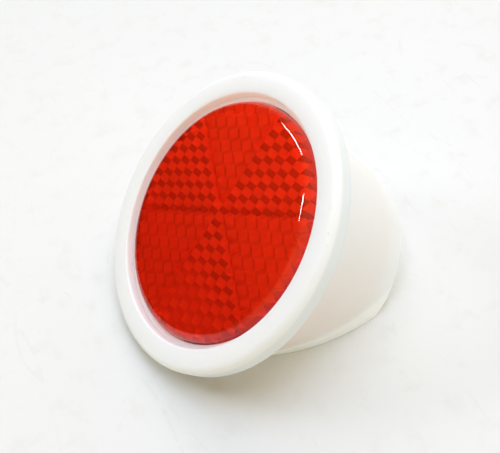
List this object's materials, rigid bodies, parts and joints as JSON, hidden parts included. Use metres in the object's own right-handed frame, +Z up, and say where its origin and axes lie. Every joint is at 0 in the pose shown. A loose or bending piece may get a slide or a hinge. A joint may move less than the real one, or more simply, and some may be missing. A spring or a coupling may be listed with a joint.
{
  "type": "driveway snow marker",
  "caption": "Round red prismatic reflector set in the flanged face of a white translucent plastic cup that stands tilted on a flat foot",
  "frame": {"origin": "on the ground under the middle of the bounding box", "axes": "+Z up from the ground, +X across the marker, the reflector faces -Y and up"},
  "size_m": [0.1008, 0.099, 0.0693],
  "materials": {
    "white_plastic": "satin, slightly translucent",
    "red_acrylic": "clear red, smooth face over moulded prisms",
    "plate_plastic": "satin, slightly translucent",
    "adhesive": "dull"
  },
  "bodies": {
    "root": {"housing": "white_plastic", "lens": "red_acrylic", "back_plate": "plate_plastic", "adhesive_ring": "adhesive"}
  },
  "joints": []
}
